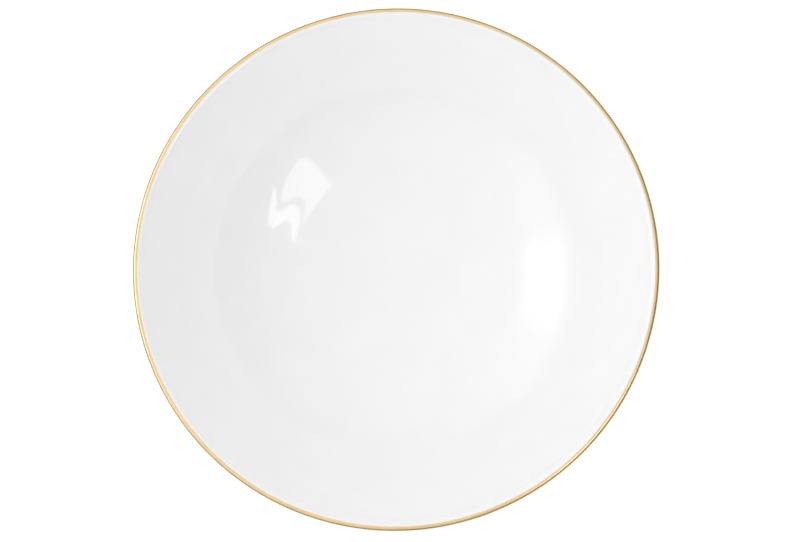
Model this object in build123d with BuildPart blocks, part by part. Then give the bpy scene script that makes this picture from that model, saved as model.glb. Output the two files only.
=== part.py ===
from build123d import *
from math import cos, radians, sin, tan
import os

# A round porcelain serving bowl with a glaze inside and out and a gilded lip.
#
# The bowl stands on the XY plane with its axis along +Z. Lengths are in millimetres
# and angles in degrees above the horizontal. Every profile lies in the XZ plane,
# where a point is (radius, height above the table).
#
# Each surface is drawn from the bare porcelain outwards. "skin" is the thickness that
# lies over the porcelain: none on the body, one layer on the glaze, two on the gold.

# Overall size, over the gold
outer_radius = 125.0
height = 88.0

# Layers over the porcelain
glaze_thickness = 0.3
gold_thickness = 0.2

# Lip: a wide rounding inside the crest, a tight one outside it, and a short cone below
lip_inner_rounding = 3.1
lip_outer_rounding = 1.05
lip_cone_length = 1.3
gold_inner_turn = 8.0

# Inside: level at the middle of the floor, steep at the lip
floor_height = 10.5
floor_handle = 75.0
inner_lip_slope = 72.0
inner_lip_handle = 45.0

# Outside: a low start beside the foot, steep under the lip
outer_foot_slope = 22.7
outer_foot_handle = 35.0
outer_lip_slope = 74.0
outer_lip_handle = 42.0

# Foot ring: a flat standing land with rounded edges between two leaning faces
land_outer_radius = 51.8
land_width = 3.4
land_edge_rounding = 0.9
foot_outer_slope = 84.0
foot_outer_length = 8.0
foot_outer_fillet = 3.5
foot_inner_slope = 82.0
foot_inner_length = 6.3
foot_inner_fillet = 3.0
bare_face_length = 0.7

# Recess under the floor: it rises from the middle towards the foot ring
recess_height = 5.5
recess_handle = 25.0
recess_edge_slope = 11.0
recess_edge_handle = 14.0


def step(point, angle, length):
    """The point at an angle and a distance from another point."""
    return (point[0] + length * cos(radians(angle)), point[1] + length * sin(radians(angle)))


# Centres of the roundings
crest_radius = outer_radius - gold_thickness - glaze_thickness - lip_outer_rounding
crest_height = height - gold_thickness - glaze_thickness
lip_inner_centre = (crest_radius, crest_height - lip_inner_rounding)
lip_outer_centre = (crest_radius, crest_height - lip_outer_rounding)
land_outer_centre = (land_outer_radius, land_edge_rounding)
land_inner_centre = (land_outer_radius - land_width, land_edge_rounding)
foot_outer_centre = step(
    step(land_outer_centre, foot_outer_slope - 90, land_edge_rounding + foot_outer_fillet),
    foot_outer_slope,
    foot_outer_length,
)
foot_inner_centre = step(
    step(land_inner_centre, 270 - foot_inner_slope, land_edge_rounding + foot_inner_fillet),
    180 - foot_inner_slope,
    foot_inner_length,
)


def rounding(centre, radius, start, turn):
    """A round stretch about a centre, from an angle through a turn, as one smooth curve."""
    first = step(centre, start, radius)
    last = step(centre, start + turn, radius)
    handle = 4 / 3 * tan(radians(turn / 4)) * radius
    Bezier(first, step(first, start + 90, handle), step(last, start + turn - 90, handle), last)


def inner_wall(skin):
    """The inside, from the middle of the floor to the lip."""
    middle = (0, floor_height + skin)
    lip_end = step(lip_inner_centre, 90 + inner_lip_slope, lip_inner_rounding + skin)
    Bezier(
        middle,
        step(middle, 0, floor_handle),
        step(lip_end, 180 + inner_lip_slope, inner_lip_handle),
        lip_end,
    )


def lip(skin, inner_turn):
    """The lip, from an angle inside its crest, over the crest and down the cone."""
    outer_radius_here = lip_outer_rounding + skin
    undercut = 90 - outer_lip_slope
    CenterArc(lip_inner_centre, lip_inner_rounding + skin, 90, inner_turn)
    rounding(lip_outer_centre, outer_radius_here, 0, 90)
    rounding(lip_outer_centre, outer_radius_here, -undercut, undercut)
    Line(*lip_cone(skin))


def lip_cone(skin):
    """The top and bottom of the cone below the lip."""
    top = step(lip_outer_centre, outer_lip_slope - 90, lip_outer_rounding + skin)
    return top, step(top, 180 + outer_lip_slope, lip_cone_length)


def outer_wall(skin):
    """The outside, from the fillet over the foot ring to the cone below the lip."""
    foot_end = step(foot_outer_centre, 90 + outer_foot_slope, foot_outer_fillet - skin)
    lip_end = lip_cone(skin)[1]
    fillet_turn = foot_outer_slope - outer_foot_slope
    CenterArc(foot_outer_centre, foot_outer_fillet - skin, 90 + outer_foot_slope, fillet_turn)
    Bezier(
        foot_end,
        step(foot_end, outer_foot_slope, outer_foot_handle),
        step(lip_end, 180 + outer_lip_slope, outer_lip_handle),
        lip_end,
    )


def foot_outer_face(skin, length):
    """The top and bottom of the foot ring's outer face, down over a length."""
    top = step(foot_outer_centre, 90 + foot_outer_slope, foot_outer_fillet - skin)
    return top, step(top, 180 + foot_outer_slope, length)


def foot_inner_face(skin, length):
    """The top and bottom of the foot ring's inner face, down over a length."""
    top = step(foot_inner_centre, 90 - foot_inner_slope, foot_inner_fillet - skin)
    return top, step(top, -foot_inner_slope, length)


def recess(skin):
    """The underside of the floor, from its middle to the foot ring's inner face."""
    middle = (0, recess_height - skin)
    edge = step(foot_inner_centre, 90 + recess_edge_slope, foot_inner_fillet - skin)
    Bezier(
        middle,
        step(middle, 0, recess_handle),
        step(edge, 180 + recess_edge_slope, recess_edge_handle),
        edge,
    )
    fillet_turn = foot_inner_slope + recess_edge_slope
    CenterArc(foot_inner_centre, foot_inner_fillet - skin, 90 - foot_inner_slope, fillet_turn)


def land():
    """The standing land and its two rounded edges."""
    inner_end = (land_inner_centre[0], 0)
    outer_end = (land_outer_centre[0], 0)
    CenterArc(land_inner_centre, land_edge_rounding, 270 - foot_inner_slope, foot_inner_slope)
    Line(inner_end, outer_end)
    CenterArc(land_outer_centre, land_edge_rounding, -90, foot_outer_slope)


# Porcelain body: bowl, floor and foot ring, thrown and fired as one
with BuildPart() as porcelain_body:
    with BuildSketch(Plane.XZ):
        with BuildLine():
            inner_wall(0)
            lip(0, inner_lip_slope)
            outer_wall(0)
            Line(*foot_outer_face(0, foot_outer_length))
            land()
            Line(*foot_inner_face(0, foot_inner_length))
            recess(0)
            Line((0, recess_height), (0, floor_height))
        make_face()
    revolve(axis=Axis.Z)

# Glaze coat: inside, over the lip and down the outside to the bare edge of the foot
glazed_outer_length = foot_outer_length - bare_face_length
with BuildPart() as glaze_coat:
    with BuildSketch(Plane.XZ):
        with BuildLine():
            for skin in (0, glaze_thickness):
                inner_wall(skin)
                lip(skin, inner_lip_slope)
                outer_wall(skin)
                Line(*foot_outer_face(skin, glazed_outer_length))
            Line((0, floor_height), (0, floor_height + glaze_thickness))
            Line(
                foot_outer_face(0, glazed_outer_length)[1],
                foot_outer_face(glaze_thickness, glazed_outer_length)[1],
            )
        make_face()
    revolve(axis=Axis.Z)

# Recess glaze: the underside inside the foot ring, parted from the coat by the bare land
glazed_inner_length = foot_inner_length - bare_face_length
with BuildPart() as recess_glaze:
    with BuildSketch(Plane.XZ):
        with BuildLine():
            for skin in (0, glaze_thickness):
                recess(skin)
                Line(*foot_inner_face(skin, glazed_inner_length))
            Line((0, recess_height), (0, recess_height - glaze_thickness))
            Line(
                foot_inner_face(0, glazed_inner_length)[1],
                foot_inner_face(glaze_thickness, glazed_inner_length)[1],
            )
        make_face()
    revolve(axis=Axis.Z)

# Gold band: fired onto the glaze over the outer half of the lip and the cone below it
gold_surface = glaze_thickness + gold_thickness
with BuildPart() as gold_rim_band:
    with BuildSketch(Plane.XZ):
        with BuildLine():
            for skin in (glaze_thickness, gold_surface):
                lip(skin, gold_inner_turn)
            Line(lip_cone(glaze_thickness)[1], lip_cone(gold_surface)[1])
            Line(
                step(lip_inner_centre, 90 + gold_inner_turn, lip_inner_rounding + glaze_thickness),
                step(lip_inner_centre, 90 + gold_inner_turn, lip_inner_rounding + gold_surface),
            )
        make_face()
    revolve(axis=Axis.Z)

porcelain_body.part.label = "porcelain_body"
glaze_coat.part.label = "glaze_coat"
recess_glaze.part.label = "recess_glaze"
gold_rim_band.part.label = "gold_rim_band"

os.makedirs("parts", exist_ok=True)
export_step(porcelain_body.part, "parts/porcelain_body.step")
export_step(glaze_coat.part, "parts/glaze_coat.step")
export_step(recess_glaze.part, "parts/recess_glaze.step")
export_step(gold_rim_band.part, "parts/gold_rim_band.step")
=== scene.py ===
import math

import bmesh
import bpy
import numpy as np
from mathutils import Matrix, Vector, noise

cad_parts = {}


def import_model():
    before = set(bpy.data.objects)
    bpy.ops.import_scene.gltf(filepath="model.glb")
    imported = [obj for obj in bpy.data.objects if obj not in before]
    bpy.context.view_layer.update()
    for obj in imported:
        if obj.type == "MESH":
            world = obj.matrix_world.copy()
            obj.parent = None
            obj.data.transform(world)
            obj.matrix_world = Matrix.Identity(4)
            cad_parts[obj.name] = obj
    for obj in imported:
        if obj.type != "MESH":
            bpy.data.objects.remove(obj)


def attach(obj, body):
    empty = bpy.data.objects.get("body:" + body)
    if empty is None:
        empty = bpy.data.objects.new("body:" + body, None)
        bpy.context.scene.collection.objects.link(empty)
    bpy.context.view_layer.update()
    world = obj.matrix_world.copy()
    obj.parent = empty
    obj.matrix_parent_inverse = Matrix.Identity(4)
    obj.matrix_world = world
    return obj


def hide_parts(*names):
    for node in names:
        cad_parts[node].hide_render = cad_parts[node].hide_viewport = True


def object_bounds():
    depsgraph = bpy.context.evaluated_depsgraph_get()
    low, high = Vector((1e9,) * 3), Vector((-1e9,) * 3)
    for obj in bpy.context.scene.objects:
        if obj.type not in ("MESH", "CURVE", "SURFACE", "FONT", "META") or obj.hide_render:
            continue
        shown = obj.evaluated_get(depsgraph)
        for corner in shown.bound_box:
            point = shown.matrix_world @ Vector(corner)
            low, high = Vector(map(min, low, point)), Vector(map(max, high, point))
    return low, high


# A glazed porcelain serving bowl with a gilded lip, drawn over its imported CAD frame.
#
# The profile is worked in millimetres as (radius, height), with angles in degrees, and
# becomes metres in the meshes. "skin" is the thickness that lies over the bare
# porcelain. Materials, floor, lights and camera are in metres.

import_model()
cad_low, cad_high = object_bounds()

MM = 0.001
BODY = "root"

# ---------------------------------------------------------------- driving dimensions

# Overall size, a hair inside the CAD box
CLEARANCE = 0.01
OUTER_RADIUS = min(cad_high.x, cad_high.y, -cad_low.x, -cad_low.y) / MM - CLEARANCE
HEIGHT = cad_high.z / MM - CLEARANCE

# Layers over the porcelain: the glaze is raised under the gold, which is only a film,
# and each layer's hidden face is sunk a little into the one below
GLAZE = 0.3
GOLD_RISE = 0.2
GOLD_FILM = 0.05
SUNK = -0.02

# Lip: a wide rounding inside the crest, a tight one outside it, and a short cone below.
# The gold turns this far inside the crest.
LIP_INNER_ROUNDING = 3.1
LIP_OUTER_ROUNDING = 1.05
LIP_CONE = 1.3
GOLD_INNER_TURN = 13.0

# Inside: level at the middle of the floor, steep at the lip
FLOOR_HEIGHT = 10.5
FLOOR_HANDLE = 75.0
INNER_LIP_SLOPE = 72.0
INNER_LIP_HANDLE = 45.0

# Outside: a low start beside the foot, steep under the lip
OUTER_FOOT_SLOPE = 22.7
OUTER_FOOT_HANDLE = 35.0
OUTER_LIP_SLOPE = 74.0
OUTER_LIP_HANDLE = 42.0

# Foot ring: a flat standing land with rounded edges between two leaning faces
LAND_OUTER_RADIUS = 51.8
LAND_WIDTH = 3.4
LAND_ROUNDING = 0.9
FOOT_OUTER_SLOPE = 84.0
FOOT_OUTER_LENGTH = 8.0
FOOT_OUTER_FILLET = 3.5
FOOT_INNER_SLOPE = 82.0
FOOT_INNER_LENGTH = 6.3
FOOT_INNER_FILLET = 3.0
BARE_FACE = 0.7

# Recess under the floor
RECESS_HEIGHT = 5.5
RECESS_HANDLE = 25.0
RECESS_EDGE_SLOPE = 11.0
RECESS_EDGE_HANDLE = 14.0

# Glaze edges: rounded over, with a low bead behind the rounding, and wavering
GLAZE_END_ROUNDING = 0.45
GLAZE_BEAD = 0.06
GLAZE_BEAD_NEAR = 0.6
GLAZE_BEAD_FAR = 3.0
GLAZE_EDGE_WAVER = 0.13
RECESS_EDGE_WAVER = 0.15

# Gold edges: rounded over and wavering, fading on the inside, over glaze that rises to them
GOLD_END_ROUNDING = 0.14
GOLD_INNER_WAVER = 0.07
GOLD_OUTER_WAVER = 0.16
GOLD_FADE = 0.5
GLAZE_RISE_INSIDE = 6.0
GLAZE_RISE_OUTSIDE = 8.0

# Painted shade over the lip: the glaze is greyed near the rim so that the lip's upward face is
# less bright; the depths below the rim where that starts and is full
LIP_SHADE_FROM = 3.4
LIP_SHADE_FULLY = 0.4

# Glaze surface: the height and the width of its undulation, in metres
GLAZE_RIPPLE = 0.000012
GLAZE_RIPPLE_WIDTH = 0.03

# Meshes: points round the bowl and the first ring's distance from the axis
ROUND = 240
HUB = 0.8

# Points drawn along each stretch of the profile, before the meshes pick their own
INSIDE_POINTS = 1200
OUTSIDE_POINTS = 1000
RECESS_POINTS = 400
LIP_POINTS = 160
CONE_POINTS = 40
FOOT_OUTER_POINTS = 120
FOOT_INNER_POINTS = 100
LAND_POINTS = 60


# ---------------------------------------------------------------- profile

def step(point, angle, length):
    """The point at an angle in degrees and a distance from another point."""
    a = math.radians(angle)
    return (point[0] + length * math.cos(a), point[1] + length * math.sin(a))


def bezier(p0, p1, p2, p3, count):
    """Points along a cubic curve."""
    t = np.linspace(0, 1, count)[:, None]
    a, b, c, d = (np.array(p, float) for p in (p0, p1, p2, p3))
    return (1 - t) ** 3 * a + 3 * (1 - t) ** 2 * t * b + 3 * (1 - t) * t * t * c + t**3 * d


def arc(centre, radius, start, end, count):
    """Points round a centre from one angle to another."""
    return np.array([step(centre, a, radius) for a in np.linspace(start, end, count)])


def line(a, b, count):
    """Points from a to b."""
    t = np.linspace(0, 1, count)[:, None]
    return (1 - t) * np.array(a, float) + t * np.array(b, float)


CREST_RADIUS = OUTER_RADIUS - GOLD_RISE - GLAZE - LIP_OUTER_ROUNDING
CREST_HEIGHT = HEIGHT - GOLD_RISE - GLAZE
LIP_INNER_CENTRE = (CREST_RADIUS, CREST_HEIGHT - LIP_INNER_ROUNDING)
LIP_OUTER_CENTRE = (CREST_RADIUS, CREST_HEIGHT - LIP_OUTER_ROUNDING)
LAND_OUTER_CENTRE = (LAND_OUTER_RADIUS, LAND_ROUNDING)
LAND_INNER_CENTRE = (LAND_OUTER_RADIUS - LAND_WIDTH, LAND_ROUNDING)
FOOT_OUTER_CENTRE = step(
    step(LAND_OUTER_CENTRE, FOOT_OUTER_SLOPE - 90, LAND_ROUNDING + FOOT_OUTER_FILLET),
    FOOT_OUTER_SLOPE,
    FOOT_OUTER_LENGTH,
)
FOOT_INNER_CENTRE = step(
    step(LAND_INNER_CENTRE, 270 - FOOT_INNER_SLOPE, LAND_ROUNDING + FOOT_INNER_FILLET),
    180 - FOOT_INNER_SLOPE,
    FOOT_INNER_LENGTH,
)


def inside_path():
    """The bare inside, from the middle of the floor to the end of the lip's rounding."""
    lip_end = step(LIP_INNER_CENTRE, 90 + INNER_LIP_SLOPE, LIP_INNER_ROUNDING)
    return bezier(
        (0, FLOOR_HEIGHT),
        (FLOOR_HANDLE, FLOOR_HEIGHT),
        step(lip_end, 180 + INNER_LIP_SLOPE, INNER_LIP_HANDLE),
        lip_end,
        INSIDE_POINTS,
    )


def lip_paths():
    """The bare lip: inner rounding, outer rounding and the cone below."""
    inner = arc(LIP_INNER_CENTRE, LIP_INNER_ROUNDING, 90 + INNER_LIP_SLOPE, 90, LIP_POINTS)
    outer = arc(LIP_OUTER_CENTRE, LIP_OUTER_ROUNDING, 90, OUTER_LIP_SLOPE - 90, LIP_POINTS)
    cone = line(outer[-1], step(outer[-1], 180 + OUTER_LIP_SLOPE, LIP_CONE), CONE_POINTS)
    return inner, outer, cone


def outside_paths(cone_end):
    """The bare outside, from the cone below the lip to the end of the foot's face."""
    foot_end = step(FOOT_OUTER_CENTRE, 90 + OUTER_FOOT_SLOPE, FOOT_OUTER_FILLET)
    wall = bezier(
        cone_end,
        step(cone_end, 180 + OUTER_LIP_SLOPE, OUTER_LIP_HANDLE),
        step(foot_end, OUTER_FOOT_SLOPE, OUTER_FOOT_HANDLE),
        foot_end,
        OUTSIDE_POINTS,
    )
    start, end = 90 + OUTER_FOOT_SLOPE, 90 + FOOT_OUTER_SLOPE
    fillet = arc(FOOT_OUTER_CENTRE, FOOT_OUTER_FILLET, start, end, FOOT_OUTER_POINTS)
    face_end = step(fillet[-1], 180 + FOOT_OUTER_SLOPE, FOOT_OUTER_LENGTH)
    face = line(fillet[-1], face_end, FOOT_OUTER_POINTS)
    return wall, fillet, face


def foot_paths():
    """The bare land with its rounded edges, the foot's inner face and the recess."""
    outer_start, inner_end = FOOT_OUTER_SLOPE - 90, 270 - FOOT_INNER_SLOPE
    outer_edge = arc(LAND_OUTER_CENTRE, LAND_ROUNDING, outer_start, -90, LAND_POINTS)
    land = line((LAND_OUTER_CENTRE[0], 0), (LAND_INNER_CENTRE[0], 0), LAND_POINTS)
    inner_edge = arc(LAND_INNER_CENTRE, LAND_ROUNDING, 270, inner_end, LAND_POINTS)
    start, end = 90 - FOOT_INNER_SLOPE, 90 + RECESS_EDGE_SLOPE
    fillet = arc(FOOT_INNER_CENTRE, FOOT_INNER_FILLET, start, end, FOOT_INNER_POINTS)
    face = line(inner_edge[-1], fillet[0], FOOT_INNER_POINTS)
    underside = bezier(
        fillet[-1],
        step(fillet[-1], 180 + RECESS_EDGE_SLOPE, RECESS_EDGE_HANDLE),
        (RECESS_HANDLE, RECESS_HEIGHT),
        (0, RECESS_HEIGHT),
        RECESS_POINTS,
    )
    return outer_edge, land, inner_edge, face, fillet, underside


class Profile:
    """The bare porcelain's outline by distance along it, with its outward normals."""

    def __init__(self, paths):
        points = np.vstack([paths[0]] + [p[1:] for p in paths[1:]])
        self.points = points
        self.s = np.concatenate([[0], np.cumsum(np.hypot(*np.diff(points, axis=0).T))])
        tangent = np.gradient(points, self.s, axis=0)
        tangent /= np.linalg.norm(tangent, axis=1)[:, None]
        self.normals = np.column_stack([-tangent[:, 1], tangent[:, 0]])
        ends = np.cumsum([len(p) - 1 for p in paths])
        self.marks = [0.0] + [float(self.s[e]) for e in ends]

    def at(self, s, offset):
        """The points at distances along the outline, raised along the normals."""
        radius = np.interp(s, self.s, self.points[:, 0])
        height = np.interp(s, self.s, self.points[:, 1])
        out_r = np.interp(s, self.s, self.normals[:, 0])
        out_z = np.interp(s, self.s, self.normals[:, 1])
        return radius + offset * out_r, height + offset * out_z


inside = inside_path()
lip_inner, lip_outer, lip_cone = lip_paths()
outside = outside_paths(lip_cone[-1])
profile = Profile([inside, lip_inner, lip_outer, lip_cone, *outside, *foot_paths()])
(
    S_FLOOR, S_LIP_START, S_CREST, S_CONE, S_CONE_END, S_FILLET, S_FACE, S_FACE_END,
    S_LAND, S_LAND_END, S_INNER_FACE, S_INNER_FILLET, S_RECESS, S_RECESS_MIDDLE,
) = profile.marks
S_GOLD_INNER = S_CREST - math.radians(GOLD_INNER_TURN) * LIP_INNER_ROUNDING
S_GOLD_OUTER = S_CONE_END
S_GLAZE_END = S_FACE_END - BARE_FACE
S_RECESS_START = S_INNER_FACE + BARE_FACE


# ---------------------------------------------------------------- meshes

def wave(theta, seed, harmonics):
    """A smooth closed wave round the bowl, about 1 high, from (harmonic, share) pairs."""
    rng = np.random.default_rng(seed)
    total = np.zeros_like(theta)
    for k, share in harmonics:
        total += share * np.sin(k * theta + rng.uniform(0, 2 * math.pi))
    return total


def smooth(x, low, high):
    """0 below low, 1 above high and a smooth turn between."""
    t = np.clip((x - low) / (high - low), 0, 1)
    return t * t * (3 - 2 * t)


def mesh_object(name, vertices, faces):
    """A smooth-shaded mesh object from points in millimetres."""
    mesh = bpy.data.meshes.new(name)
    mesh.from_pydata((np.asarray(vertices) * MM).tolist(), [], faces)
    mesh.validate()
    mesh.shade_smooth()
    mesh.update()
    obj = bpy.data.objects.new(name, mesh)
    bpy.context.scene.collection.objects.link(obj)
    return obj


def revolve(name, rings, theta, pole_start, pole_end):
    """A mesh through rings of (radius, height) arrays over theta.

    Both ends close on the axis, or, without poles, the last ring joins the first.
    """
    cos, sin = np.cos(theta), np.sin(theta)
    n = len(theta)
    vertices = []
    for radius, height in rings:
        radius = np.broadcast_to(radius, theta.shape)
        height = np.broadcast_to(height, theta.shape)
        vertices.append(np.column_stack([radius * cos, radius * sin, height]))
    vertices = np.vstack(vertices)
    faces = []
    count = len(rings)
    closed = not (pole_start or pole_end)
    for i in range(count if closed else count - 1):
        a, b = i * n, ((i + 1) % count) * n
        for j in range(n):
            k = (j + 1) % n
            faces.append((a + j, b + j, b + k, a + k))
    for pole, ring in ((pole_start, 0), (pole_end, count - 1)):
        if pole:
            hub = len(vertices)
            vertices = np.vstack([vertices, [0, 0, pole]])
            base = ring * n
            for j in range(n):
                k = (j + 1) % n
                edge = (base + k, base + j) if ring else (base + j, base + k)
                faces.append((hub, *edge))
    return mesh_object(name, vertices, faces)


def stations(*spans):
    """Distances along the profile: (start, end, count) spans, one after another."""
    parts = [np.linspace(a, b, n, endpoint=False) for a, b, n in spans]
    return np.concatenate(parts + [[spans[-1][1]]])


def undulate(obj, depth, width):
    """Raises and lowers a surface along its normals by a smooth fixed noise."""
    mesh = obj.data
    n = len(mesh.vertices)
    co = np.empty(n * 3)
    no = np.empty(n * 3)
    mesh.vertices.foreach_get("co", co)
    mesh.vertices.foreach_get("normal", no)
    co, no = co.reshape(-1, 3), no.reshape(-1, 3)
    lift = np.array([noise.noise(Vector(p) / width) for p in co])
    co += no * (lift * depth)[:, None]
    mesh.vertices.foreach_set("co", co.ravel())
    mesh.update()


def glaze_skin(s):
    """Glaze thickness along the profile: fuller under the gold."""
    inside_gold = smooth(s, S_GOLD_INNER - GLAZE_RISE_INSIDE, S_GOLD_INNER)
    outside_gold = smooth(s, S_GOLD_OUTER, S_GOLD_OUTER + GLAZE_RISE_OUTSIDE)
    return GLAZE + (GOLD_RISE - GOLD_FILM) * inside_gold * (1 - outside_gold)


def rounded_end(distance, length):
    """How full a layer is near its edge: 0 at the edge, 1 from length inwards."""
    t = np.clip(distance / length, 0, 1)
    return np.sqrt(np.clip(1 - (1 - t) ** 2, 0, 1))


def glaze_end(distance):
    """The bead's height and the fullness of a glaze at a distance from its edge."""
    bead = GLAZE_BEAD * (1 - smooth(distance, GLAZE_BEAD_NEAR, GLAZE_BEAD_FAR))
    return bead, rounded_end(distance, GLAZE_END_ROUNDING)


def angles(count):
    """Angles all round the bowl."""
    return np.linspace(0, 2 * math.pi, count, endpoint=False)


def porcelain_body():
    """The fired body, bare on the foot's land."""
    theta = angles(ROUND)
    s = stations(
        (S_FLOOR + HUB, S_LIP_START, 60),
        (S_LIP_START, S_CREST, 12),
        (S_CREST, S_CONE_END, 14),
        (S_CONE_END, S_FILLET, 50),
        (S_FILLET, S_FACE, 12),
        (S_FACE, S_FACE_END, 8),
        (S_FACE_END, S_LAND, 10),
        (S_LAND, S_LAND_END, 12),
        (S_LAND_END, S_INNER_FACE, 10),
        (S_INNER_FACE, S_INNER_FILLET, 8),
        (S_INNER_FILLET, S_RECESS, 12),
        (S_RECESS, S_RECESS_MIDDLE - HUB, 30),
    )
    rings = [profile.at(d, 0.0) for d in s]
    return revolve("porcelain_bowl_body", rings, theta, FLOOR_HEIGHT, RECESS_HEIGHT)


def underside(rows):
    """The rows that a layer's hidden face needs: every third and the last."""
    return rows[:-1:3] + rows[-1:]


def glaze_coat():
    """The glaze inside, over the lip and down to a wavering edge on the foot."""
    theta = angles(ROUND)
    waver = wave(theta, 11, [(2, 0.5), (5, 0.4), (9, 0.3), (23, 0.12)])
    edge = S_GLAZE_END + GLAZE_EDGE_WAVER * waver
    fixed = stations(
        (S_FLOOR + HUB, S_LIP_START, 110),
        (S_LIP_START, S_CREST, 14),
        (S_CREST, S_CONE_END, 20),
        (S_CONE_END, S_FILLET, 50),
        (S_FILLET, S_FACE, 12),
    )
    rows = [np.full_like(theta, d) for d in fixed]
    tail = 1 - (1 - np.linspace(0, 1, 14)[1:]) ** 2
    rows += [S_FACE + (edge - S_FACE) * t for t in tail]
    skin = []
    for s in rows:
        bead, fullness = glaze_end(edge - s)
        skin.append((glaze_skin(s) + bead) * fullness)
    upper = [profile.at(s, k) for s, k in zip(rows, skin)]
    under = [profile.at(s, SUNK) for s in underside(rows)]
    rings = upper + under[::-1]
    return revolve("white_glaze_coat", rings, theta, FLOOR_HEIGHT + GLAZE, FLOOR_HEIGHT + SUNK)


def recess_glaze():
    """The glaze under the floor, inside the foot ring."""
    theta = angles(ROUND)
    waver = wave(theta, 23, [(3, 0.5), (4, 0.3), (11, 0.3), (19, 0.12)])
    edge = S_RECESS_START + RECESS_EDGE_WAVER * waver
    head = np.linspace(0, 1, 12)[:-1] ** 2
    rows = [edge + (S_INNER_FILLET - edge) * t for t in head]
    fixed = stations((S_INNER_FILLET, S_RECESS, 12), (S_RECESS, S_RECESS_MIDDLE - HUB, 36))
    rows += [np.full_like(theta, d) for d in fixed]
    skin = []
    for s in rows:
        bead, fullness = glaze_end(s - edge)
        skin.append((GLAZE + bead) * fullness)
    upper = [profile.at(s, k) for s, k in zip(rows, skin)]
    under = [profile.at(s, SUNK) for s in rows]
    rings = under[::-1] + upper
    return revolve("recess_glaze_coat", rings, theta, RECESS_HEIGHT - SUNK, RECESS_HEIGHT - GLAZE)


def gold_band():
    """The gold line over the lip, a little uneven along both of its edges."""
    theta = angles(2 * ROUND)
    inner_waver = wave(theta, 5, [(1, 0.5), (3, 0.4), (7, 0.3), (17, 0.2)])
    outer_waver = wave(theta, 7, [(2, 0.5), (5, 0.4), (13, 0.25), (29, 0.12)])
    start = S_GOLD_INNER + GOLD_INNER_WAVER * inner_waver
    end = S_GOLD_OUTER + GOLD_OUTER_WAVER * outer_waver
    rows = [start + (end - start) * t for t in np.linspace(0, 1, 34)]
    film = []
    for s in rows:
        from_start = rounded_end(s - start, GOLD_END_ROUNDING)
        from_end = rounded_end(end - s, GOLD_END_ROUNDING)
        film.append(GOLD_FILM * np.minimum(from_start, from_end))
    upper = [profile.at(s, glaze_skin(s) + f) for s, f in zip(rows, film)]
    under = [profile.at(s, glaze_skin(s) + SUNK) for s in rows]
    return revolve("gold_lip_band", upper + under[::-1], theta, None, None)


# ---------------------------------------------------------------- materials

# The range that noise mostly stays in
NOISE_LOW = 0.3
NOISE_HIGH = 0.7

# Base colours, dark to light where a noise mottles them
GLAZE_DARK, GLAZE_LIGHT = (0.876, 0.875, 0.875), (0.890, 0.889, 0.889)
# Painted shade: a grey tint that darkens the glaze over the lip
LIP_SHADE_TINT = (0.94, 0.94, 0.945)
BARE_DARK, BARE_LIGHT = (0.70, 0.68, 0.64), (0.80, 0.78, 0.74)
GOLD_DARK, GOLD_LIGHT = (0.66, 0.495, 0.27), (0.73, 0.55, 0.31)
GOLD_THIN = (0.86, 0.85, 0.83)
GOLD_EDGE_TINT = (0.82, 0.59, 0.31)
FLOOR_DARK, FLOOR_LIGHT = (0.89, 0.89, 0.89), (0.91, 0.91, 0.91)
FLOOR_GLOW = 0.29

# Gold strokes: the noise's scale along a stroke and across it
STROKE_SCALE_ALONG = 12.0
STROKE_SCALE_ACROSS = 3000.0


def new_material(name):
    """A node material, with its tree and its Principled shader."""
    material = bpy.data.materials.new(name)
    material.use_nodes = True
    tree = material.node_tree
    shader = next(n for n in tree.nodes if n.type == "BSDF_PRINCIPLED")
    return material, tree, shader


def node(tree, kind, **inputs):
    """A node of a kind with some of its input sockets set, by name."""
    made = tree.nodes.new(kind)
    for key, value in inputs.items():
        made.inputs[key.replace("_", " ")].default_value = value
    return made


def math_node(tree, operation, *values):
    """A Math node's result over linked outputs and plain numbers."""
    made = tree.nodes.new("ShaderNodeMath")
    made.operation = operation
    for socket, value in zip(made.inputs, values):
        if isinstance(value, (int, float)):
            socket.default_value = value
        else:
            tree.links.new(value, socket)
    return made.outputs["Value"]


def component(tree, direction, axis):
    """How far a direction goes along an axis."""
    made = tree.nodes.new("ShaderNodeVectorMath")
    made.operation = "DOT_PRODUCT"
    made.inputs[1].default_value = axis
    tree.links.new(direction, made.inputs[0])
    return made.outputs["Value"]


def turn(tree, value, start, end, low, high):
    """A smooth turn from low to high while a value goes from start to end."""
    made = node(tree, "ShaderNodeMapRange", From_Min=start, From_Max=end)
    made.inputs["To Min"].default_value = low
    made.inputs["To Max"].default_value = high
    made.interpolation_type = "SMOOTHSTEP"
    tree.links.new(value, made.inputs["Value"])
    return made.outputs["Result"]


def coordinates(tree, kind):
    """Texture coordinates of a kind, whole and as their X, Y and Z."""
    where = tree.nodes.new("ShaderNodeTexCoord").outputs[kind]
    split = tree.nodes.new("ShaderNodeSeparateXYZ")
    tree.links.new(where, split.inputs["Vector"])
    return where, split.outputs


def object_noise(tree, scale, detail=2.0, roughness=0.5):
    """Noise over the object's own coordinates, at a scale per metre."""
    where = tree.nodes.new("ShaderNodeTexCoord")
    made = node(tree, "ShaderNodeTexNoise", Scale=scale, Detail=detail, Roughness=roughness)
    tree.links.new(where.outputs["Object"], made.inputs["Vector"])
    return made.outputs["Fac"]


def ramp(tree, value, dark, light):
    """A colour from dark to light by a noise value."""
    made = tree.nodes.new("ShaderNodeValToRGB")
    first, last = made.color_ramp.elements
    first.position, last.position = NOISE_LOW, NOISE_HIGH
    first.color, last.color = (*dark, 1), (*light, 1)
    tree.links.new(value, made.inputs["Fac"])
    return made.outputs["Color"]


def spread(tree, value, low, high):
    """A noise value spread over a range of numbers."""
    made = node(tree, "ShaderNodeMapRange", From_Min=NOISE_LOW, From_Max=NOISE_HIGH)
    made.inputs["To Min"].default_value = low
    made.inputs["To Max"].default_value = high
    tree.links.new(value, made.inputs["Value"])
    return made.outputs["Result"]


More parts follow.
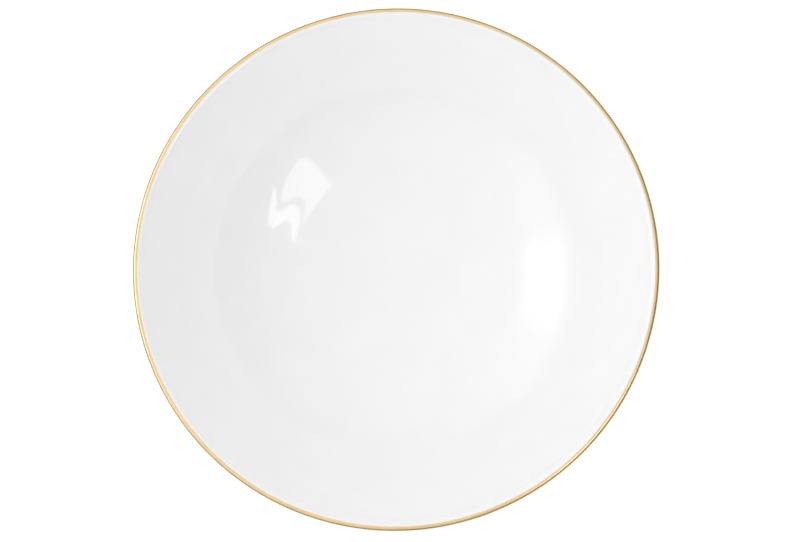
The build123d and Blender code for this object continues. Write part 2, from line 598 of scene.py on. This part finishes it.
def bump(tree, value, distance):
    """A bump of a height in metres."""
    made = node(tree, "ShaderNodeBump", Distance=distance)
    tree.links.new(value, made.inputs["Height"])
    return made.outputs["Normal"]


def painted_lip_shade(tree, colour):
    """Greys a glaze near the rim: painted shade that dims the lip."""
    _, parts = coordinates(tree, "Object")
    low, high = cad_high.z - LIP_SHADE_FROM * MM, cad_high.z - LIP_SHADE_FULLY * MM
    near = turn(tree, parts["Z"], low, high, 0.0, 1.0)
    mixed = tree.nodes.new("ShaderNodeMix")
    mixed.data_type = "RGBA"
    mixed.blend_type = "MULTIPLY"
    mixed.inputs["B"].default_value = (*LIP_SHADE_TINT, 1)
    tree.links.new(near, mixed.inputs["Factor"])
    tree.links.new(colour, mixed.inputs["A"])
    return mixed.outputs["Result"]


def glaze_material():
    """White feldspathic glaze: glossy, faintly mottled, with an orange-peel skin."""
    material, tree, shader = new_material("white_glaze")
    colour = ramp(tree, object_noise(tree, 55.0, detail=3.0), GLAZE_DARK, GLAZE_LIGHT)
    # The glaze is greyed near the rim, as painted shade over the lip
    tree.links.new(painted_lip_shade(tree, colour), shader.inputs["Base Color"])
    polish = spread(tree, object_noise(tree, 30.0), 0.045, 0.085)
    tree.links.new(polish, shader.inputs["Roughness"])
    peel = bump(tree, object_noise(tree, 420.0, detail=1.0), 0.000004)
    tree.links.new(peel, shader.inputs["Normal"])
    shader.inputs["IOR"].default_value = 1.5
    return material


def bare_material():
    """Bare fired porcelain: a warm matte white with a fine ground grain."""
    material, tree, shader = new_material("bare_porcelain")
    grain = object_noise(tree, 2600.0, detail=4.0, roughness=0.6)
    patches = object_noise(tree, 160.0, detail=3.0)
    colour = ramp(tree, patches, BARE_DARK, BARE_LIGHT)
    tree.links.new(colour, shader.inputs["Base Color"])
    tree.links.new(spread(tree, grain, 0.62, 0.85), shader.inputs["Roughness"])
    tree.links.new(bump(tree, grain, 0.00003), shader.inputs["Normal"])
    shader.inputs["IOR"].default_value = 1.45
    return material


def from_axis(tree):
    """The level direction out from the bowl's axis, and how far it reaches."""
    where = tree.nodes.new("ShaderNodeTexCoord")
    level = tree.nodes.new("ShaderNodeVectorMath")
    level.operation = "MULTIPLY"
    level.inputs[1].default_value = (1, 1, 0)
    tree.links.new(where.outputs["Object"], level.inputs[0])
    distance = tree.nodes.new("ShaderNodeVectorMath")
    distance.operation = "LENGTH"
    tree.links.new(level.outputs["Vector"], distance.inputs[0])
    return level.outputs["Vector"], distance.outputs["Value"]


def strokes(tree, along, across):
    """Noise drawn out round the bowl: its scale along a stroke and across it."""
    level, distance = from_axis(tree)
    heading = tree.nodes.new("ShaderNodeVectorMath")
    heading.operation = "NORMALIZE"
    tree.links.new(level, heading.inputs[0])
    drawn = tree.nodes.new("ShaderNodeVectorMath")
    drawn.operation = "SCALE"
    drawn.inputs["Scale"].default_value = along / across
    tree.links.new(heading.outputs["Vector"], drawn.inputs[0])
    outward = tree.nodes.new("ShaderNodeCombineXYZ")
    tree.links.new(distance, outward.inputs["Z"])
    around = tree.nodes.new("ShaderNodeVectorMath")
    around.operation = "ADD"
    tree.links.new(drawn.outputs["Vector"], around.inputs[0])
    tree.links.new(outward.outputs["Vector"], around.inputs[1])
    made = node(tree, "ShaderNodeTexNoise", Scale=across, Detail=2.0)
    tree.links.new(around.outputs["Vector"], made.inputs["Vector"])
    return made.outputs["Fac"]


def gold_cover(tree):
    """How far the gold covers the glaze: it is brushed thin towards its inner edge."""
    edge = float(profile.at(S_GOLD_INNER, GLAZE)[0]) * MM
    _, distance = from_axis(tree)
    cover = node(tree, "ShaderNodeMapRange", From_Min=edge, From_Max=edge + GOLD_FADE * MM)
    tree.links.new(distance, cover.inputs["Value"])
    return cover.outputs["Result"]


def gold_material():
    """Burnished gold with faint strokes round the lip."""
    material, tree, shader = new_material("burnished_gold")
    shader.inputs["Specular Tint"].default_value = (*GOLD_EDGE_TINT, 1)
    patches = object_noise(tree, 90.0, detail=3.0)
    colour = ramp(tree, patches, GOLD_DARK, GOLD_LIGHT)
    cover = gold_cover(tree)
    mixed = tree.nodes.new("ShaderNodeMix")
    mixed.data_type = "RGBA"
    mixed.inputs["A"].default_value = (*GOLD_THIN, 1)
    tree.links.new(cover, mixed.inputs["Factor"])
    tree.links.new(colour, mixed.inputs["B"])
    tree.links.new(mixed.outputs["Result"], shader.inputs["Base Color"])
    tree.links.new(cover, shader.inputs["Metallic"])
    brushed = strokes(tree, STROKE_SCALE_ALONG, STROKE_SCALE_ACROSS)
    tree.links.new(spread(tree, brushed, 0.22, 0.32), shader.inputs["Roughness"])
    return material


def floor_material():
    """A pale sweep that glows a little, so that it stays white, seen only from above."""
    material, tree, shader = new_material("pale_floor")
    colour = ramp(tree, object_noise(tree, 1.5), FLOOR_DARK, FLOOR_LIGHT)
    tree.links.new(colour, shader.inputs["Base Color"])
    shader.inputs["Roughness"].default_value = 0.9
    shader.inputs["Specular IOR Level"].default_value = 0.0
    shader.inputs["Emission Color"].default_value = (1, 1, 1, 1)
    shader.inputs["Emission Strength"].default_value = FLOOR_GLOW
    side = tree.nodes.new("ShaderNodeNewGeometry")
    clear = tree.nodes.new("ShaderNodeBsdfTransparent")
    one_sided = tree.nodes.new("ShaderNodeMixShader")
    tree.links.new(side.outputs["Backfacing"], one_sided.inputs["Fac"])
    tree.links.new(shader.outputs["BSDF"], one_sided.inputs[1])
    tree.links.new(clear.outputs["BSDF"], one_sided.inputs[2])
    output = next(n for n in tree.nodes if n.type == "OUTPUT_MATERIAL")
    tree.links.new(one_sided.outputs["Shader"], output.inputs["Surface"])
    return material


# ---------------------------------------------------------------- the object

def place(obj, material, replaced):
    """Gives a piece its material and its body, and hides the CAD node that it replaces."""
    obj.data.materials.append(material)
    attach(obj, BODY)
    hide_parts(replaced)
    return obj


white_glaze = glaze_material()
place(porcelain_body(), bare_material(), "porcelain_body")
glaze = place(glaze_coat(), white_glaze, "glaze_coat")
undulate(glaze, GLAZE_RIPPLE, GLAZE_RIPPLE_WIDTH)
place(recess_glaze(), white_glaze, "recess_glaze")
place(gold_band(), gold_material(), "gold_rim_band")


# ---------------------------------------------------------------- floor

FLOOR_REACH = 6.0
FLOOR_DROP = 0.05 * MM


def floor():
    """A wide level plane just under the land, kept out of gloss and bounced light."""
    corners = [(-1, -1), (1, -1), (1, 1), (-1, 1)]
    mesh = bpy.data.meshes.new("floor")
    points = [(x * FLOOR_REACH, y * FLOOR_REACH, -FLOOR_DROP) for x, y in corners]
    mesh.from_pydata(points, [], [(0, 1, 2, 3)])
    obj = bpy.data.objects.new("floor", mesh)
    obj.data.materials.append(floor_material())
    obj.visible_glossy = False
    obj.visible_diffuse = False
    bpy.context.scene.collection.objects.link(obj)


# ---------------------------------------------------------------- surroundings

# What lights matt surfaces: brighter to the left and towards both ends of an axis
SURROUND_LEVEL = 1.135
SURROUND_SLOPE = (-0.25, 0.05, -0.06)
CROSS_AXIS = (0.34, 0.94, 0.0)
CROSS_LEVEL = 0.12
BELOW = 0.4
BELOW_FROM, BELOW_TO = -0.15, 0.0

# What gloss reflects: a sky that is dim just above the horizon, over a pale table
REFLECTED_LEVEL = 0.7
REFLECTED_SLOPE = (-0.35, 0.08, 0.0)
HORIZON = 0.2
HORIZON_FROM, HORIZON_TO = 0.08, 0.32
TABLE_LEVEL = 1.3
TABLE_EDGE, TABLE_FULL = -0.1, -0.5
DOME_RADIUS = 9.0


def sloped(tree, direction, level, slope):
    """A brightness that rises along one direction."""
    return math_node(tree, "ADD", component(tree, direction, slope), level)


def two_ended(tree, direction, level, extra, axis):
    """A brightness that rises towards both ends of an axis."""
    reach = component(tree, direction, axis)
    square = math_node(tree, "MULTIPLY", reach, reach)
    return math_node(tree, "MULTIPLY_ADD", square, extra, level)


def world():
    """A pale surround that lights what is matt and stays out of gloss."""
    made = bpy.data.worlds.new("surround")
    bpy.context.scene.world = made
    made.use_nodes = True
    tree = made.node_tree
    background = next(n for n in tree.nodes if n.type == "BACKGROUND")
    background.inputs["Color"].default_value = (1, 1, 1, 1)
    direction, parts = coordinates(tree, "Generated")
    level = sloped(tree, direction, SURROUND_LEVEL, SURROUND_SLOPE)
    level = two_ended(tree, direction, level, CROSS_LEVEL, CROSS_AXIS)
    share = turn(tree, parts["Z"], BELOW_FROM, BELOW_TO, BELOW, 1.0)
    tree.links.new(math_node(tree, "MULTIPLY", level, share), background.inputs["Strength"])
    made.cycles_visibility.glossy = False


def glow_material(name):
    """An empty glowing material, with its tree, its glow and its output."""
    material = bpy.data.materials.new(name)
    material.use_nodes = True
    tree = material.node_tree
    tree.nodes.clear()
    glow = tree.nodes.new("ShaderNodeEmission")
    output = tree.nodes.new("ShaderNodeOutputMaterial")
    return material, tree, glow, output


def dome_material():
    """What gloss reflects: brighter to the left, dim at the horizon, pale table below."""
    material, tree, glow, output = glow_material("dome")
    direction, parts = coordinates(tree, "Object")
    sky = sloped(tree, direction, REFLECTED_LEVEL, REFLECTED_SLOPE)
    dim = turn(tree, parts["Z"], HORIZON_FROM, HORIZON_TO, HORIZON, 1.0)
    shown = turn(tree, parts["Z"], TABLE_FULL, TABLE_EDGE, 0.0, 1.0)
    sky = math_node(tree, "MULTIPLY", math_node(tree, "MULTIPLY", sky, dim), shown)
    table = turn(tree, parts["Z"], TABLE_EDGE, TABLE_FULL, 0.0, TABLE_LEVEL)
    tree.links.new(math_node(tree, "ADD", table, sky), glow.inputs["Strength"])
    tree.links.new(glow.outputs["Emission"], output.inputs["Surface"])
    return material


def gloss_only(obj):
    """Links a light that shows in gloss alone."""
    obj.visible_camera = False
    obj.visible_diffuse = False
    bpy.context.scene.collection.objects.link(obj)


def dome():
    """A sphere round everything for gloss to reflect."""
    mesh = bpy.data.meshes.new("dome")
    shape = bmesh.new()
    bmesh.ops.create_icosphere(shape, subdivisions=5, radius=1.0)
    shape.to_mesh(mesh)
    shape.free()
    mesh.materials.append(dome_material())
    obj = bpy.data.objects.new("dome", mesh)
    obj.scale = (DOME_RADIUS, DOME_RADIUS, DOME_RADIUS)
    gloss_only(obj)


# ---------------------------------------------------------------- panels

# Where the panels hang, in degrees and metres; the overhead one is slid to the left
KEY_AZIMUTH = 170.3
KEY_DISTANCE = 1.1
OVERHEAD_DISTANCE = 2.0
OVERHEAD_SHIFT = -1.54


def added(tree, glow, output):
    """Adds a glow to whatever is behind it."""
    clear = tree.nodes.new("ShaderNodeBsdfTransparent")
    both = tree.nodes.new("ShaderNodeAddShader")
    tree.links.new(glow.outputs["Emission"], both.inputs[0])
    tree.links.new(clear.outputs["BSDF"], both.inputs[1])
    tree.links.new(both.outputs["Shader"], output.inputs["Surface"])


def panel_material(name, radiance, softness):
    """A glow that fades out towards the panel's edges, by its share of each half side."""
    material, tree, glow, output = glow_material(name)
    _, parts = coordinates(tree, "Object")
    across, up = (math_node(tree, "ABSOLUTE", parts[axis]) for axis in "XY")
    sides = turn(tree, across, 1.0, 1.0 - softness[0], 0.0, radiance)
    ends = turn(tree, up, 1.0, 1.0 - softness[1], 0.0, 1.0)
    tree.links.new(math_node(tree, "MULTIPLY", sides, ends), glow.inputs["Strength"])
    added(tree, glow, output)
    return material


def hang(obj, azimuth, zenith, distance):
    """Hangs a light at a compass angle and an angle from the vertical, facing the bowl."""
    a, z = math.radians(azimuth), math.radians(zenith)
    centre = Vector((0, 0, cad_high.z / 2))
    away = Vector((math.sin(z) * math.cos(a), math.sin(z) * math.sin(a), math.cos(z)))
    obj.location = centre + distance * away
    obj.rotation_mode = "QUATERNION"
    obj.rotation_quaternion = (centre - obj.location).to_track_quat("-Z", "Y")
    gloss_only(obj)


def panel(name, azimuth, zenith, distance, size, radiance, softness):
    """A glowing rectangle that faces the bowl."""
    mesh = bpy.data.meshes.new(name)
    mesh.from_pydata([(-1, -1, 0), (1, -1, 0), (1, 1, 0), (-1, 1, 0)], [], [(0, 1, 2, 3)])
    mesh.materials.append(panel_material(name, radiance, softness))
    obj = bpy.data.objects.new(name, mesh)
    obj.scale = (size[0] / 2, size[1] / 2, 1)
    hang(obj, azimuth, zenith, distance)
    return obj


def panels():
    """A key light to the left with its wide dim spill, and a broad soft one overhead."""
    panel(
        "key_left", azimuth=KEY_AZIMUTH, zenith=53, distance=KEY_DISTANCE,
        size=(0.80, 0.56), radiance=0.95, softness=(0.7, 0.3),
    )
    panel(
        "key_spill", azimuth=KEY_AZIMUTH, zenith=55, distance=KEY_DISTANCE,
        size=(2.2, 0.80), radiance=0.6, softness=(1.0, 0.7),
    )
    overhead = panel(
        "overhead", azimuth=0, zenith=0, distance=OVERHEAD_DISTANCE,
        size=(10, 13), radiance=0.45, softness=(0.5, 0.75),
    )
    overhead.location.x = OVERHEAD_SHIFT


# ---------------------------------------------------------------- window

# The window's place, and its outline in metres from its middle. The bowl mirrors the window
# upside down, so top, foot, above and height mean those of the reflection.
WINDOW_AZIMUTH = -30
WINDOW_ZENITH = 44
WINDOW_DISTANCE = 1.1
WINDOW_ROWS = 60
WINDOW_TOP = 0.162
BROAD_FOOT = -0.303
NARROW_FOOT = -0.316
BROAD_RADIANCE = 2.3
NARROW_RADIANCE = 3.25

# The bar between the two lights: it waves, and flares out near the foot
WAVE_LENGTH = 0.29
BAR_CREST = -0.005
BAR_MIDDLE = -0.015
BAR_SWING = 0.085
BAR_FLARE = 0.045
BAR_FLARE_FROM = -0.19
BAR_FLARE_REACH = 0.1
HALF_BAR = 0.031

# The broad light: its inner edge bends and flares, its outer edge is rounded above
BROAD_INNER = -0.30
BROAD_BEND = 0.04
BROAD_LEAN = 0.275
BROAD_CURL = 2.2
BROAD_TOE = 0.025
BROAD_TOE_FROM, BROAD_TOE_TO = 0.27, 0.305
BROAD_OUTER = 0.045
BROAD_ROUND_ABOVE = -0.1
BROAD_ROUND_FROM = -0.03
BROAD_ROUND_RATE = 13.6
BROAD_ROUND_POWER = 2.3

# The narrow light: its outer edge waves, and both edges lean in above
NARROW_INNER = 0.10
NARROW_LEAN = 0.81
NARROW_OUTER = 0.16
NARROW_CREST = -0.02
NARROW_SWING = 0.05
NARROW_SLANT = 1.4


def window_wave(v, crest):
    """1 at each crest of the window's wave and -1 between, by height."""
    return math.cos(2 * math.pi * (v - crest) / WAVE_LENGTH)


def window_bar(v):
    """How far across the window its bar stands at a height."""
    waved = BAR_SWING * ((1 + window_wave(v, BAR_CREST)) / 2) ** 2
    flared = BAR_FLARE * (max(0, BAR_FLARE_FROM - v) / BAR_FLARE_REACH) ** 4
    return BAR_MIDDLE + waved + flared


def broad_inner(v):
    """The inner edge of the broad light, which leans in above and flares at its foot."""
    rise = v - BROAD_BEND
    leaned = -BROAD_LEAN * rise if rise < 0 else BROAD_CURL * rise**2
    toe = BROAD_TOE * float(smooth(-v, BROAD_TOE_FROM, BROAD_TOE_TO))
    return BROAD_INNER + leaned - toe


def broad_outer(v):
    """The broad light's edge along the bar, rounded off towards its top."""
    edge = window_bar(v) - HALF_BAR
    if v < BROAD_ROUND_ABOVE:
        return edge
    rounded = BROAD_ROUND_RATE * max(0, v - BROAD_ROUND_FROM) ** BROAD_ROUND_POWER
    return min(edge, BROAD_OUTER - rounded)


def narrow_inner(v):
    """The narrow light's edge along the bar, leaning in above."""
    return min(window_bar(v) + HALF_BAR, NARROW_INNER - NARROW_LEAN * v)


def narrow_outer(v):
    """The waved outer edge of the narrow light, cut off at a slant at its top."""
    waved = NARROW_OUTER + NARROW_SWING * window_wave(v, NARROW_CREST)
    return min(waved, NARROW_SLANT * (WINDOW_TOP - v))


def window_light(name, left, right, foot, radiance):
    """One light of the window, between two edges across it."""
    rows = np.linspace(foot, WINDOW_TOP, WINDOW_ROWS)
    vertices = []
    for v in rows:
        low, high = left(v), right(v)
        vertices += [(low, -v, 0), (max(low, high), -v, 0)]
    faces = [(2 * i, 2 * i + 1, 2 * i + 3, 2 * i + 2) for i in range(len(rows) - 1)]
    material, tree, glow, output = glow_material(name)
    glow.inputs["Strength"].default_value = radiance
    added(tree, glow, output)
    mesh = bpy.data.meshes.new(name)
    mesh.from_pydata(vertices, [], faces)
    mesh.materials.append(material)
    obj = bpy.data.objects.new(name, mesh)
    hang(obj, WINDOW_AZIMUTH, WINDOW_ZENITH, WINDOW_DISTANCE)


def window():
    """A waved window to the right, in two lights with a bar between them."""
    window_light("window_broad", broad_inner, broad_outer, BROAD_FOOT, BROAD_RADIANCE)
    window_light("window_narrow", narrow_inner, narrow_outer, NARROW_FOOT, NARROW_RADIANCE)


# ---------------------------------------------------------------- camera

# The view: degrees from the vertical, the way it leans, and the distance in metres
CAMERA_TILT = 7.77
CAMERA_LEAN = (0.315, -0.949)
CAMERA_DISTANCE = 1.3
SENSOR = 36.0

# The framing, in shares of the view's width: the rim, and the middle's offset
RIM_SHARE = 0.6598
AIM_RIGHT = 0.00625
AIM_UP = 0.0061


def camera():
    """A long lens almost straight above, leaning a little to the front right."""
    tilt = math.radians(CAMERA_TILT)
    lean = Vector((*CAMERA_LEAN, 0)).normalized()
    back = lean * math.sin(tilt) + Vector((0, 0, math.cos(tilt)))
    right = (Vector((1, 0, 0)) - back * back.x).normalized()
    up = back.cross(right)
    radius = OUTER_RADIUS * MM
    data = bpy.data.cameras.new("camera")
    data.sensor_width = SENSOR
    data.lens = RIM_SHARE * SENSOR / 2 * CAMERA_DISTANCE / radius
    view_width = 2 * radius / RIM_SHARE
    rim_centre = Vector((0, 0, cad_high.z))
    aim = rim_centre + right * AIM_RIGHT * view_width - up * AIM_UP * view_width
    obj = bpy.data.objects.new("camera", data)
    axes = Matrix((right, up, back)).transposed().to_4x4()
    obj.matrix_world = Matrix.Translation(aim + back * CAMERA_DISTANCE) @ axes
    bpy.context.scene.collection.objects.link(obj)
    bpy.context.scene.camera = obj


floor()
world()
dome()
panels()
window()
camera()
bpy.context.scene.view_settings.view_transform = "Standard"
